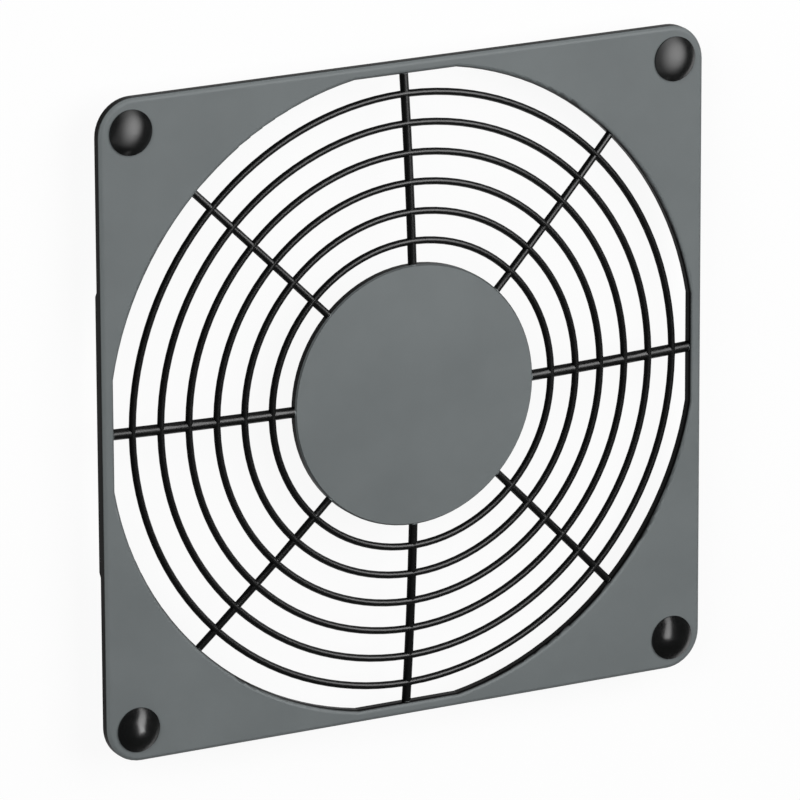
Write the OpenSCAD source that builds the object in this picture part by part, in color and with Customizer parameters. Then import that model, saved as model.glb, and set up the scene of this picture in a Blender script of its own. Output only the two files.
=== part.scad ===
// Domed finger guard for a square axial fan, held on by four dome-headed push rivets.
// The guard lies flat: X and Y run along the sides of the plate, and +Z points out of the front.
// The origin is the middle of the seat, the plane at the back that lies against the fan.

/* [Plate] */
// Width and height of the square plate
plate_w = 116.4; // [115.2:0.1:118]
// Thickness of the plate
plate_t = 1.9; // [1.7:0.1:2.4]
// Radius of the plate's corners, seen from the front
corner_r = 6.5; // [5:0.1:8]
// Rounding of the front edge round the outside
edge_r = 0.8; // [0.3:0.1:0.8]

/* [Opening] */
// Diameter of the round opening
opening_d = 113.7; // [112.2:0.1:114.4]
// Width of the straight bar that closes the opening at the middle of each side
side_bar_w = 2.2; // [2.1:0.1:2.8]
// Rounding of the front edge round the opening
lip_r = 0.8; // [0.5:0.1:1.2]

/* [Grille] */
// Diameter of the closed disc in the middle
disc_d = 46.2; // [40:0.1:48]
// Thickness of the disc
disc_t = 1.5; // [1.2:0.1:2.2]
// Bevel round the front edge of the disc
disc_bevel = 0.25; // [0.1:0.05:0.4]
// Number of rings between the disc and the opening
ring_count = 6; // [3:1:6]
// Radius of the smallest ring, at the middle of its width
first_ring_r = 27.1; // [26.5:0.1:28]
// Distance from one ring to the next
ring_pitch = 5.08; // [4.6:0.02:5.16]
// Width of a ring, which is round in section
ring_w = 1.25; // [1.2:0.05:1.5]
// Depth of a ring from its crest to its flat back
ring_depth = 1.1; // [1:0.05:1.15]
// Width of the two spokes along X, which are round in section like the rings
level_spoke_w = 1.9; // [1.3:0.05:2.2]
// Width of the two spokes along Y
upright_spoke_w = 1.55; // [1.2:0.05:2]
// Width of the four spokes that run to the corners
corner_spoke_w = 1.35; // [1.1:0.05:1.8]
// Depth of a spoke from its crest to its flat back
spoke_depth = 1.25; // [1.2:0.05:1.3]
// Height of the middle of the dome above the plate's front face
dome_rise = 3; // [2:0.1:5]
// How far the dome has sunk below the front face where it meets the opening
rim_drop = 0.5; // [0.3:0.05:0.6]

/* [Seat] */
// Height of the rails and pads that hold the plate's back off the fan
seat_h = 0.5; // [0.3:0.1:1]
// Length of the rail behind each upright side
rail_l = 50; // [20:1:80]
// Width of a rail
rail_w = 1.6; // [1:0.1:2]
// Length of the slope at each end of a rail
rail_ramp = 0.8; // [0.3:0.1:2]
// Diameter of the round pad behind each corner
pad_d = 9; // [7:0.1:10]

/* [Push rivets] */
// Distance between the rivets along a side, the hole spacing of a 120 mm fan
rivet_spacing = 104.8; // [103:0.1:106]
// Diameter of a rivet's head
head_d = 7.9; // [7:0.1:9]
// Height of a rivet's head
head_h = 1.6; // [1.2:0.1:2.8]
// Height of the upright rim at the foot of the head
head_rim = 0.3; // [0.1:0.05:0.6]
// Diameter of a rivet's shank
shank_d = 4; // [3.5:0.1:4.4]
// How far the collar under the head stands out from the shank
collar_out = 0.2; // [0.1:0.05:0.4]
// Gap between a collar and the wall of its hole in the guard
hole_gap = 0.2; // [0.1:0.05:0.4]
// Thickness of the fan flange that the rivets grip
grip = 4; // [3:0.1:4.5]
// How far the barb stands out from the shank
barb_out = 0.25; // [0.1:0.05:0.4]
// Length of the barbed tip
tip_l = 2; // [1.5:0.1:3]
// Diameter of the flat end of the tip
tip_d = 2.4; // [1.6:0.1:3]
// Width of the slot that splits the tip into two legs
slot_w = 0.8; // [0.5:0.1:1.2]
// How far the slot runs into the shank behind the barb
slot_run = 1.8; // [0.5:0.1:2.5]

/* [Hidden] */
$fn = 96;
// Extra length of a cutter past the surface that it cuts
over = 1;
// How far a spoke runs into the disc and the plate
anchor = 0.9;
// How far a spoke's crest lies below the crest of the rings
spoke_sink = 0.06;
// Segments of the dome's circle, which is large
dome_segments = 720;
// Slope at the back of the barb
barb_back = 0.3;
back_z = seat_h;
face_z = seat_h + plate_t;
// Height inside the plate at which rails and pads are rooted
root_z = back_z + plate_t / 2;
half_w = plate_w / 2;
opening_r = opening_d / 2;
bar_in = half_w - side_bar_w;
disc_r = disc_d / 2;
// The crest of the grille lies on a sphere through the middle of the dome and its sunken rim
dome_sag = dome_rise + rim_drop;
dome_r = (opening_r * opening_r + dome_sag * dome_sag) / (2 * dome_sag);
dome_centre_z = face_z + dome_rise - dome_r;
rivet_at = rivet_spacing / 2;
collar_d = shank_d + 2 * collar_out;
hole_d = collar_d + 2 * hole_gap;
barb_z = -grip;
tip_z = -grip - tip_l;

// Height of the dome's crest at a distance from the middle
function crest_z(r) = dome_centre_z + sqrt(dome_r * dome_r - r * r);

// Angle from the dome's axis at which its crest is a given distance from the middle
function crest_angle(r) = asin(r / dome_r);

// Round section of a rib with its crest at the origin, pointing along +Y, and its back cut flat
module rib_section(width, depth) {
  intersection() {
    translate([0, -width / 2]) circle(d = width);
    translate([-width, -depth]) square([2 * width, depth + over]);
  }
}

// What a rounded edge takes away: the square corner outside a quarter circle
module corner_waste(radius) {
  difference() {
    square(radius + over);
    circle(radius);
  }
}

// Section through the plate's border, from its inside line out to the rounded front edge
module border_section(reach) {
  difference() {
    translate([0, back_z]) square([reach, plate_t]);
    translate([reach - edge_r, face_z - edge_r]) corner_waste(edge_r);
  }
}

// Square plate with round corners and a rounded front edge
module blank_plate() {
  inside = half_w - corner_r;
  translate([-inside, -inside, back_z]) cube([2 * inside, 2 * inside, plate_t]);
  for (quarter = [0:3]) {
    rotate(90 * quarter) {
      translate([inside, inside, 0]) rotate_extrude(angle = 90) border_section(corner_r);
      translate([inside, inside, 0]) rotate([90, 0, 0]) linear_extrude(2 * inside) border_section(corner_r);
    }
  }
}

// Half of a section through the opening's cutter, widening over the rounded lip
module opening_section(reach) {
  translate([0, -over]) square([reach, face_z + 2 * over]);
  translate([reach + lip_r, face_z - lip_r]) {
    intersection() {
      mirror([1, 0]) corner_waste(lip_r);
      translate([-lip_r - over / 2, 0]) square(lip_r + over / 2);
    }
  }
}

// Cutter that is as long as the plate is wide, for the straight stretches of the opening
module straight_cutter() {
  rotate([90, 0, 0]) translate([0, 0, -half_w]) {
    linear_extrude(plate_w) {
      opening_section(bar_in);
      mirror([1, 0]) opening_section(bar_in);
    }
  }
}

// Round opening, cut short by the four side bars
module opening_cutter() {
  intersection() {
    rotate_extrude() opening_section(opening_r);
    straight_cutter();
    rotate(90) straight_cutter();
  }
}

// Closed disc in the middle, part of the dome
module disc() {
  rotate_extrude() {
    intersection() {
      translate([0, dome_centre_z]) {
        difference() {
          circle(dome_r, $fn = dome_segments);
          circle(dome_r - disc_t, $fn = dome_segments);
        }
      }
      rim_z = crest_z(disc_r);
      polygon([
        [0, rim_z - disc_t - over],
        [disc_r, rim_z - disc_t - over],
        [disc_r, rim_z - disc_bevel],
        [disc_r - disc_bevel - dome_rise, rim_z + dome_rise],
        [0, rim_z + dome_rise],
      ]);
    }
  }
}

// Rings round the disc, each with its crest on the dome
module rings() {
  for (i = [0:ring_count - 1]) {
    ring_r = first_ring_r + i * ring_pitch;
    translate([0, 0, crest_z(ring_r)]) rotate_extrude() {
      translate([ring_r, 0]) rib_section(ring_w, ring_depth);
    }
  }
}

// One spoke along +X, bent to the dome, from inside the disc to inside the plate
module spoke(width, end_r) {
  start_angle = crest_angle(disc_r - anchor);
  end_angle = crest_angle(end_r + anchor);
  translate([0, 0, dome_centre_z]) rotate([90, 0, 0]) rotate(90 - end_angle) {
    rotate_extrude(angle = end_angle - start_angle) {
      translate([dome_r - spoke_sink, 0]) rotate(-90) rib_section(width, spoke_depth);
    }
  }
}

// Spokes to the side bars, with slimmer ones to the corners between them
module spokes() {
  for (half = [0, 180]) {
    rotate(half) spoke(level_spoke_w, bar_in);
    rotate(half + 90) spoke(upright_spoke_w, bar_in);
    rotate(half + 45) spoke(corner_spoke_w, opening_r);
    rotate(half + 135) spoke(corner_spoke_w, opening_r);
  }
}

// Rail behind each upright side, with sloped ends
module rails() {
  end_y = rail_l / 2;
  for (side = [0, 180]) {
    rotate(side) translate([half_w - rail_w, 0, 0]) rotate([90, 0, 90]) {
      linear_extrude(rail_w) {
        polygon([
          [-end_y, back_z],
          [rail_ramp - end_y, 0],
          [end_y - rail_ramp, 0],
          [end_y, back_z],
          [end_y, root_z],
          [-end_y, root_z],
        ]);
      }
    }
  }
}

// Places its children at the four rivets
module at_rivets() {
  for (x = [-rivet_at, rivet_at], y = [-rivet_at, rivet_at]) {
    translate([x, y, 0]) children();
  }
}

// The guard, moulded in one piece
module guard() {
  color([0.44, 0.46, 0.46]) difference() {
    union() {
      difference() {
        blank_plate();
        opening_cutter();
      }
      disc();
      rings();
      spokes();
      rails();
      at_rivets() cylinder(h = root_z, d = pad_d);
    }
    at_rivets() translate([0, 0, -over]) cylinder(h = face_z + 2 * over, d = hole_d);
  }
}

// Domed head of a rivet with its upright rim, standing on the origin
module rivet_head() {
  dome_h = head_h - head_rim;
  dome_ball_r = (head_d * head_d / 4 + dome_h * dome_h) / (2 * dome_h);
  rotate_extrude() intersection() {
    translate([0, head_h - dome_ball_r]) circle(dome_ball_r);
    square([head_d / 2, head_h + over]);
  }
}

// One push rivet on the Z axis, with its head on the plate and its barb behind the fan flange
module push_rivet() {
  difference() {
    union() {
      translate([0, 0, face_z]) rivet_head();
      cylinder(h = face_z, d = collar_d);
      translate([0, 0, barb_z]) cylinder(h = -barb_z, d = shank_d);
      translate([0, 0, barb_z - barb_back]) {
        cylinder(h = barb_back, d1 = shank_d + 2 * barb_out, d2 = shank_d);
      }
      translate([0, 0, tip_z]) {
        cylinder(h = tip_l - barb_back, d1 = tip_d, d2 = shank_d + 2 * barb_out);
      }
    }
    translate([-slot_w / 2, -shank_d, tip_z - over]) cube([slot_w, 2 * shank_d, tip_l + over + slot_run]);
  }
}

// Four push rivets, one in each corner
module push_rivets() {
  color([0.08, 0.08, 0.08]) at_rivets() push_rivet();
}

guard();
push_rivets();
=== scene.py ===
"""Looks of a domed finger guard for a square fan, held by four dome-headed push rivets.

The guard lies face up on the tips of its rivets. All lengths are in metres unless a name says mm.
"""
import math

import bpy
from mathutils import Matrix, Quaternion, Vector


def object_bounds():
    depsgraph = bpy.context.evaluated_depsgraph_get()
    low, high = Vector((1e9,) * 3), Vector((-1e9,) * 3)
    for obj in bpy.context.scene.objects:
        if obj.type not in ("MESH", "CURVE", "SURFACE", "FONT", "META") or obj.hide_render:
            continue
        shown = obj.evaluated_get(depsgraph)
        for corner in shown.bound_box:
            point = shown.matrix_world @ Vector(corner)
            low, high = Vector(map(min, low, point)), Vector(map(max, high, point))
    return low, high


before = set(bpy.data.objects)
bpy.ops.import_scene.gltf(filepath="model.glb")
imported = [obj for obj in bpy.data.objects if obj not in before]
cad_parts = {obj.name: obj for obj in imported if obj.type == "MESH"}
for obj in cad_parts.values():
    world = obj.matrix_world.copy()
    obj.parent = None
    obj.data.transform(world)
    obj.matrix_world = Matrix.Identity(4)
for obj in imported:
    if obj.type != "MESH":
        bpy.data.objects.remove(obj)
cad_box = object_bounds()

MM = 0.001
WHITE = (1.0, 1.0, 1.0, 1.0)

# Guard: radius of the disc and of the round opening, width of a straight side bar,
# and rounding of the plate's corners and of its front edge
DISC_R = 23.1 * MM
OPENING_R = 56.85 * MM
SIDE_BAR_W = 2.2 * MM
CORNER_R = 6.5 * MM
EDGE_R = 0.8 * MM
# How far the grain and painted sheen of the faces reach past the line that bounds them, so that they
# never stop short of an edge
REACH = 0.02 * MM

# Places on the guard, from its middle: inner line of a side bar and centre of a corner's round
HALF_W = cad_box[1].x
BAR_IN = HALF_W - SIDE_BAR_W
CORNER_AT = HALF_W - CORNER_R
# Distance from a corner's centre at which the rounded edge begins
EDGE_FROM = CORNER_R - EDGE_R

# Colours of the guard: its faces, whose grey is a fine grain and painted sheen on black plastic, their
# rubbed outer edge with a painted highlight, and its black ribs from side to a faintly painted crest
# highlight
FACE_DARK = (0.126, 0.140, 0.143, 1.0)
FACE_PALE = (0.172, 0.190, 0.193, 1.0)
FACE_RUBBED_AND_LIT = (0.142, 0.157, 0.159, 1.0)
RIB_SIDE = (0.001, 0.0011, 0.0011, 1.0)
RIB_CREST_HIGHLIGHT = (0.003, 0.0032, 0.0032, 1.0)
# Gloss of the guard: pairs of values go from low to high mottle, from side to crest or from rib to face
GUARD_IOR = 1.45
RIB_ROUGHNESS = (0.32, 0.38)
FACE_DULLNESS = 0.18
RIB_SHINE = (0.03, 0.8)
FACE_SHINE = (0.8, 0.3)
GRAIN_STRENGTH = (0.03, 0.12)
# How level a surface lies, from 0 on a wall to 1 on a face, where the faces' painted sheen, the ribs'
# painted crest highlight and their gloss go over into one another
EDGE_TURN = (0.12, 0.5)
FACE_TURN = (0.5, 0.93)
CREST_HIGHLIGHT_TURN = (0.7, 0.97)
SHINE_TURN = (0.4, 0.8)

# Rivets: colours, gloss and how strong the waves in their surface are
RIVET_DARK = (0.002, 0.0022, 0.0022, 1.0)
RIVET_PALE = (0.004, 0.0043, 0.0043, 1.0)
RIVET_IOR = 1.7
RIVET_ROUGHNESS = (0.19, 0.25)
WAVE_STRENGTH = 0.1

# Patterns: lumps in a metre, the part of a pattern's range that sways the gloss, and depth of the bumps
MOTTLE_SCALE = 60.0
GRAIN_SCALE = 5200.0
WAVE_SCALE = 450.0
SWAY = (0.3, 0.7)
BUMP_DEPTH = 0.02 * MM

# Nodes are set out in rows in the editor
NODES_PER_ROW = 8
NODE_STEP = (220, 320)

# Camera of the photograph: how it is turned round the guard, how far away it stands and its lens
CAMERA_AZIMUTH = -121.64
CAMERA_ELEVATION = 57.67
CAMERA_ROLL = 117.27
CAMERA_DISTANCE = 1378.7 * MM
CAMERA_AIM = Vector((-1.60, -1.24, 2.37)) * MM
CAMERA_LENS_MM = 362.37
SENSOR_MM = 36.0
CAMERA_NEAR = 0.01
CAMERA_FAR = 50.0

# Studio
FLOOR_HALF = 8.0
FLOOR_GAP = 0.05 * MM
FLOOR_COLOUR = (0.9, 0.9, 0.9, 1.0)
FLOOR_OWN_WHITE = 0.92
ROOM_LEVEL = 0.04

# Panels that fade: their middle as a share of their width and length, and from where to where,
# out from that middle, their light falls from full to faint
PANEL_MIDDLE = (0.5, 0.5, 0.0)
FADE_SPAN = (0.05, 0.5)
FADE_LEVELS = (1.0, 0.1)

# Small cards that the rivet heads mirror, which hang level above the guard and have a narrower beam:
# name, middle in x and y, width and length in mm, turn in degrees, radiance, and whether it fades
CARD_HEIGHT_MM = 30.0
CARD_BEAM = 150.0
HEAD_CARDS = (
    ("upper_left_card", -37.0, 60.0, 54.0, 88.0, 21, 2.35, True),
    ("upper_right_card", 66.5, 60.0, 72.0, 96.0, 16, 2.25, True),
    ("lower_left_card", -34.4, -37.0, 14.7, 34.0, 31, 2.9, False),
    ("lower_left_card_end", -41.0, -56.0, 10.0, 18.0, -10, 3.8, False),
    ("lower_right_card", 56.9, -36.0, 9.5, 36.0, 18, 2.2, False),
    ("lower_right_card_end", 52.8, -52.0, 9.5, 12.0, 12, 2.8, False),
)


# Nodes

def add_node(tree, kind, **settings):
    """One node with its settings, in the next free place of the editor."""
    row, column = divmod(len(tree.nodes), NODES_PER_ROW)
    node = tree.nodes.new(kind)
    node.location = (column * NODE_STEP[0], -row * NODE_STEP[1])
    for key, value in settings.items():
        setattr(node, key, value)
    return node


def set_inputs(node, **values):
    """Sets named sockets; an underscore in a name stands for a space."""
    for key, value in values.items():
        node.inputs[key.replace("_", " ")].default_value = value


def feed(tree, value, socket):
    """Gives a socket what it takes: the output of another node, or a plain number or colour."""
    if isinstance(value, bpy.types.NodeSocket):
        tree.links.new(value, socket)
    else:
        socket.default_value = value


def ramp(tree, source, span, values=(0.0, 1.0)):
    """A soft step from one value to another while its source crosses a span."""
    node = add_node(tree, "ShaderNodeMapRange", interpolation_type="SMOOTHSTEP")
    set_inputs(node, From_Min=span[0], From_Max=span[1], To_Min=values[0], To_Max=values[1])
    tree.links.new(source, node.inputs["Value"])
    return node.outputs["Result"]


def calculate(tree, operation, first, second=0.0):
    """A sum on two values; an operation on one value leaves out the second."""
    node = add_node(tree, "ShaderNodeMath", operation=operation)
    feed(tree, first, node.inputs[0])
    feed(tree, second, node.inputs[1])
    return node.outputs[0]


def distance(tree, x, y):
    """Distance that goes with a step along X and a step along Y."""
    x_squared = calculate(tree, "MULTIPLY", x, x)
    y_squared = calculate(tree, "MULTIPLY", y, y)
    return calculate(tree, "SQRT", calculate(tree, "ADD", x_squared, y_squared))


def how_far_past(tree, value, limit):
    """How far a value lies past a limit, or zero short of it."""
    return calculate(tree, "MAXIMUM", calculate(tree, "SUBTRACT", value, limit), 0.0)


def blend_colours(tree, share, first, second):
    """A colour between two."""
    node = add_node(tree, "ShaderNodeMix", data_type="RGBA")
    tree.links.new(share, node.inputs["Factor"])
    feed(tree, first, node.inputs["A"])
    feed(tree, second, node.inputs["B"])
    return node.outputs["Result"]


def cloudy_pattern(tree, where, scale, detail, roughness):
    """A cloudy pattern that stays with its piece."""
    node = add_node(tree, "ShaderNodeTexNoise")
    set_inputs(node, Scale=scale, Detail=detail, Roughness=roughness)
    tree.links.new(where.outputs["Object"], node.inputs["Vector"])
    return node.outputs["Fac"]


def raise_bumps(tree, plastic, pattern, strength):
    """Gives a plastic fine bumps that follow a pattern."""
    bump = add_node(tree, "ShaderNodeBump")
    set_inputs(bump, Distance=BUMP_DEPTH)
    feed(tree, strength, bump.inputs["Strength"])
    tree.links.new(pattern, bump.inputs["Height"])
    tree.links.new(bump.outputs["Normal"], plastic.inputs["Normal"])


# Finishes

def new_material(name):
    """A node material whose tree holds only its output."""
    material = bpy.data.materials.new(name)
    material.use_nodes = True
    tree = material.node_tree
    tree.nodes.clear()
    out = add_node(tree, "ShaderNodeOutputMaterial")
    return material, tree, out.inputs["Surface"]


def new_plastic(name, ior):
    """A plastic: its material, its tree, its shader and the node that knows places on the piece."""
    material, tree, surface = new_material(name)
    plastic = add_node(tree, "ShaderNodeBsdfPrincipled")
    set_inputs(plastic, IOR=ior)
    tree.links.new(plastic.outputs["BSDF"], surface)
    where = add_node(tree, "ShaderNodeTexCoord")
    return material, tree, plastic, where


def guard_places(tree, where):
    """Where the guard's faces are grained and painted grey as sheen, how far its outer edge is rubbed
    and carries a painted highlight, and how level a surface lies.
    """
    place = add_node(tree, "ShaderNodeSeparateXYZ")
    tree.links.new(where.outputs["Object"], place.inputs[0])
    facing = add_node(tree, "ShaderNodeSeparateXYZ")
    tree.links.new(where.outputs["Normal"], facing.inputs[0])
    level = calculate(tree, "ABSOLUTE", facing.outputs["Z"])

    # Faces of plate and disc: inside the disc's rim, outside the round opening or on a side bar
    radius = distance(tree, place.outputs["X"], place.outputs["Y"])
    x_out = calculate(tree, "ABSOLUTE", place.outputs["X"])
    y_out = calculate(tree, "ABSOLUTE", place.outputs["Y"])
    side_out = calculate(tree, "MAXIMUM", x_out, y_out)
    on_disc = calculate(tree, "LESS_THAN", radius, DISC_R + REACH)
    past_opening = calculate(tree, "GREATER_THAN", radius, OPENING_R - REACH)
    on_bar = calculate(tree, "GREATER_THAN", side_out, BAR_IN - REACH)
    on_plate = calculate(tree, "MAXIMUM", past_opening, on_bar)
    on_face = calculate(tree, "MAXIMUM", on_disc, on_plate)

    # Rounded outer edge of the plate, whose painted sheen reaches further round than on the opening's
    # lip
    x_past = how_far_past(tree, x_out, CORNER_AT)
    y_past = how_far_past(tree, y_out, CORNER_AT)
    edge_reach = distance(tree, x_past, y_past)
    on_edge = calculate(tree, "GREATER_THAN", edge_reach, EDGE_FROM - REACH)
    edge_front = calculate(tree, "MULTIPLY", on_edge, ramp(tree, level, EDGE_TURN))
    front = calculate(tree, "MAXIMUM", edge_front, ramp(tree, level, FACE_TURN))
    # Painted sheen: level faces of plate and disc are painted grey, walls and ribs keep the black
    # plastic's colour
    grained_and_sheen = calculate(tree, "MULTIPLY", on_face, front)
    # Rubbed wear and painted highlight: the rounded outer edge gets one even, lighter grey
    rubbed_and_lit = ramp(tree, edge_reach, (EDGE_FROM, CORNER_R))
    return grained_and_sheen, rubbed_and_lit, level


def moulded_guard_plastic():
    """Moulded black plastic: fine grained faces on plate and disc, painted grey as sheen, and smooth
    black ribs and walls.
    """
    material, tree, plastic, where = new_plastic("moulded_guard_plastic", GUARD_IOR)
    grained_and_sheen, rubbed_and_lit, level = guard_places(tree, where)
    mottle = cloudy_pattern(tree, where, MOTTLE_SCALE, detail=3.0, roughness=0.6)
    rib_to_face = (0.0, 1.0)

    # Painted sheen: the faces are painted grey with a random mottle, and the ribs and walls stay black
    face_colour_with_sheen = blend_colours(tree, mottle, FACE_DARK, FACE_PALE)
    # Rubbed wear and painted highlight on the rounded outer edge
    face_colour_with_sheen = blend_colours(tree, rubbed_and_lit, face_colour_with_sheen, FACE_RUBBED_AND_LIT)
    # Painted highlight: the ribs are a shade lighter towards their crest
    rib_colour = blend_colours(tree, ramp(tree, level, CREST_HIGHLIGHT_TURN), RIB_SIDE, RIB_CREST_HIGHLIGHT)
    colour = blend_colours(tree, grained_and_sheen, rib_colour, face_colour_with_sheen)
    tree.links.new(colour, plastic.inputs["Base Color"])

    roughness = ramp(tree, mottle, SWAY, RIB_ROUGHNESS)
    dullness = calculate(tree, "MULTIPLY", grained_and_sheen, FACE_DULLNESS)
    tree.links.new(calculate(tree, "ADD", roughness, dullness), plastic.inputs["Roughness"])
    rib_shine = ramp(tree, level, SHINE_TURN, RIB_SHINE)
    face_shine = ramp(tree, grained_and_sheen, rib_to_face, FACE_SHINE)
    shine = calculate(tree, "MINIMUM", rib_shine, face_shine)
    tree.links.new(shine, plastic.inputs["Specular IOR Level"])

    grain = cloudy_pattern(tree, where, GRAIN_SCALE, detail=2.0, roughness=0.5)
    raise_bumps(tree, plastic, grain, ramp(tree, grained_and_sheen, rib_to_face, GRAIN_STRENGTH))
    return material


def glossy_rivet_plastic():
    """Smooth black plastic of the rivets, with faint waves in its surface and its gloss."""
    material, tree, plastic, where = new_plastic("glossy_rivet_plastic", RIVET_IOR)
    waves = cloudy_pattern(tree, where, WAVE_SCALE, detail=3.0, roughness=0.6)
    tree.links.new(blend_colours(tree, waves, RIVET_DARK, RIVET_PALE), plastic.inputs["Base Color"])
    tree.links.new(ramp(tree, waves, SWAY, RIVET_ROUGHNESS), plastic.inputs["Roughness"])
    raise_bumps(tree, plastic, waves, WAVE_STRENGTH)
    return material


def white_floor_paint():
    """Pale floor that is white where it is looked at and keeps a faint shadow."""
    material, tree, surface = new_material("white_floor_paint")
    paint = add_node(tree, "ShaderNodeBsdfDiffuse")
    set_inputs(paint, Color=FLOOR_COLOUR)
    white = add_node(tree, "ShaderNodeEmission")
    set_inputs(white, Color=WHITE, Strength=1.0)
    ray = add_node(tree, "ShaderNodeLightPath")
    seen = calculate(tree, "MAXIMUM", ray.outputs["Is Camera Ray"], ray.outputs["Is Glossy Ray"])
    seen = calculate(tree, "MAXIMUM", seen, ray.outputs["Is Transmission Ray"])
    mix = add_node(tree, "ShaderNodeMixShader")
    tree.links.new(calculate(tree, "MULTIPLY", seen, FLOOR_OWN_WHITE), mix.inputs["Fac"])
    tree.links.new(paint.outputs[0], mix.inputs[1])
    tree.links.new(white.outputs[0], mix.inputs[2])
    tree.links.new(mix.outputs[0], surface)
    return material


# Guard and rivets

def dress(node, finish):
    """Gives a node of the frame its finish."""
    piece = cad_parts[node]
    piece.data.materials.clear()
    piece.data.materials.append(finish)
    return piece


# Studio

def lay_floor():
    """Floor just under the rivet tips."""
    bpy.ops.object.select_all(action="DESELECT")
    below_tips = (0, 0, cad_box[0].z - FLOOR_GAP)
    bpy.ops.mesh.primitive_plane_add(size=2 * FLOOR_HALF, location=below_tips)
    floor = bpy.context.object
    floor.name = "floor"
    floor.data.materials.append(white_floor_paint())


def light_room():
    """Dim even light from all round."""
    world = bpy.data.worlds.new("studio_room")
    bpy.context.scene.world = world
    world.use_nodes = True
    set_inputs(world.node_tree.nodes["Background"], Color=WHITE, Strength=ROOM_LEVEL)


def fade_to_edges(lamp):
    """Makes a panel brightest in its middle, like a softbox with one lamp behind its cloth."""
    lamp.use_nodes = True
    tree = lamp.node_tree
    spot = add_node(tree, "ShaderNodeNewGeometry")
    from_middle = add_node(tree, "ShaderNodeVectorMath", operation="SUBTRACT")
    from_middle.inputs[1].default_value = PANEL_MIDDLE
    tree.links.new(spot.outputs["Parametric"], from_middle.inputs[0])
    way_out = add_node(tree, "ShaderNodeVectorMath", operation="LENGTH")
    tree.links.new(from_middle.outputs["Vector"], way_out.inputs[0])
    strength = ramp(tree, way_out.outputs["Value"], FADE_SPAN, FADE_LEVELS)
    tree.links.new(strength, tree.nodes["Emission"].inputs["Strength"])


def hang_softbox(
    name, middle, width, length, radiance, aim=(0, 0, 0), along=(0, 1, 0), beam=180.0,
    mirrored=True, spread=True, fades=False, only=None,
):
    """Soft panel light that hangs at a place and aims at another; its length runs along the given way.

    A panel can have a narrower beam, can be kept out of the gloss or out of the spread light,
    can fade to its edges, and can light one piece alone.
    """
    lamp = bpy.data.lights.new(name, "AREA")
    lamp.shape = "RECTANGLE"
    lamp.size = width
    lamp.size_y = length
    lamp.energy = radiance * math.pi * width * length
    lamp.spread = math.radians(beam)
    if fades:
        fade_to_edges(lamp)
    panel = bpy.data.objects.new(name, lamp)
    bpy.context.scene.collection.objects.link(panel)
    panel.location = middle
    back = (Vector(middle) - Vector(aim)).normalized()
    tall = Vector(along)
    tall = (tall - tall.dot(back) * back).normalized()
    turn = Matrix((tall.cross(back), tall, back)).transposed()
    panel.rotation_mode = "QUATERNION"
    panel.rotation_quaternion = turn.to_quaternion()
    panel.visible_camera = False
    panel.visible_glossy = mirrored
    panel.visible_diffuse = spread
    if only:
        lit = bpy.data.collections.new(name + "_lights")
        lit.objects.link(only)
        panel.light_linking.receiver_collection = lit


def hang_head_cards():
    """Small level cards above the corners, for the highlights of the rivet heads alone."""
    for name, x_mm, y_mm, width_mm, length_mm, turn_degrees, radiance, fades in HEAD_CARDS:
        turn = math.radians(turn_degrees)
        hang_softbox(
            name, middle=Vector((x_mm, y_mm, CARD_HEIGHT_MM)) * MM, aim=Vector((x_mm, y_mm, 0)) * MM,
            along=(math.sin(turn), math.cos(turn), 0), width=width_mm * MM, length=length_mm * MM,
            radiance=radiance, beam=CARD_BEAM, fades=fades, only=rivets,
        )


def set_camera():
    """Camera at the photograph's place."""
    lens = bpy.data.cameras.new("camera")
    lens.sensor_width = SENSOR_MM
    lens.lens = CAMERA_LENS_MM
    lens.clip_start = CAMERA_NEAR
    lens.clip_end = CAMERA_FAR
    camera = bpy.data.objects.new("camera", lens)
    bpy.context.scene.collection.objects.link(camera)
    azimuth = math.radians(CAMERA_AZIMUTH)
    elevation = math.radians(CAMERA_ELEVATION)
    back = Vector((
        math.sin(azimuth) * math.cos(elevation),
        -math.cos(azimuth) * math.cos(elevation),
        math.sin(elevation),
    ))
    camera.location = CAMERA_AIM + back * CAMERA_DISTANCE
    camera.rotation_mode = "QUATERNION"
    roll = Quaternion((0.0, 0.0, 1.0), math.radians(CAMERA_ROLL))
    camera.rotation_quaternion = (-back).to_track_quat("-Z", "Y") @ roll
    bpy.context.scene.camera = camera


# The object, and then the studio round it
guard = dress("guard", moulded_guard_plastic())
rivets = dress("push_rivets", glossy_rivet_plastic())
lay_floor()
light_room()
# One lamp for the guard's gloss alone, two for spread light alone, and the cards of the rivet heads
hang_softbox(
    "key_softbox", middle=(0.265, 0.240, 0.505), width=0.5, length=0.36, radiance=5.2,
    spread=False, only=guard,
)
hang_softbox(
    "left_fill", middle=(-1.296, 0.720, 1.026), width=1.0, length=1.0, radiance=6.7, mirrored=False,
)
hang_softbox(
    "top_fill", middle=(0.34, 0.28, 0.68), width=0.7, length=0.7, radiance=3.6, mirrored=False,
)
hang_head_cards()
set_camera()
bpy.context.scene.view_settings.view_transform = "Standard"
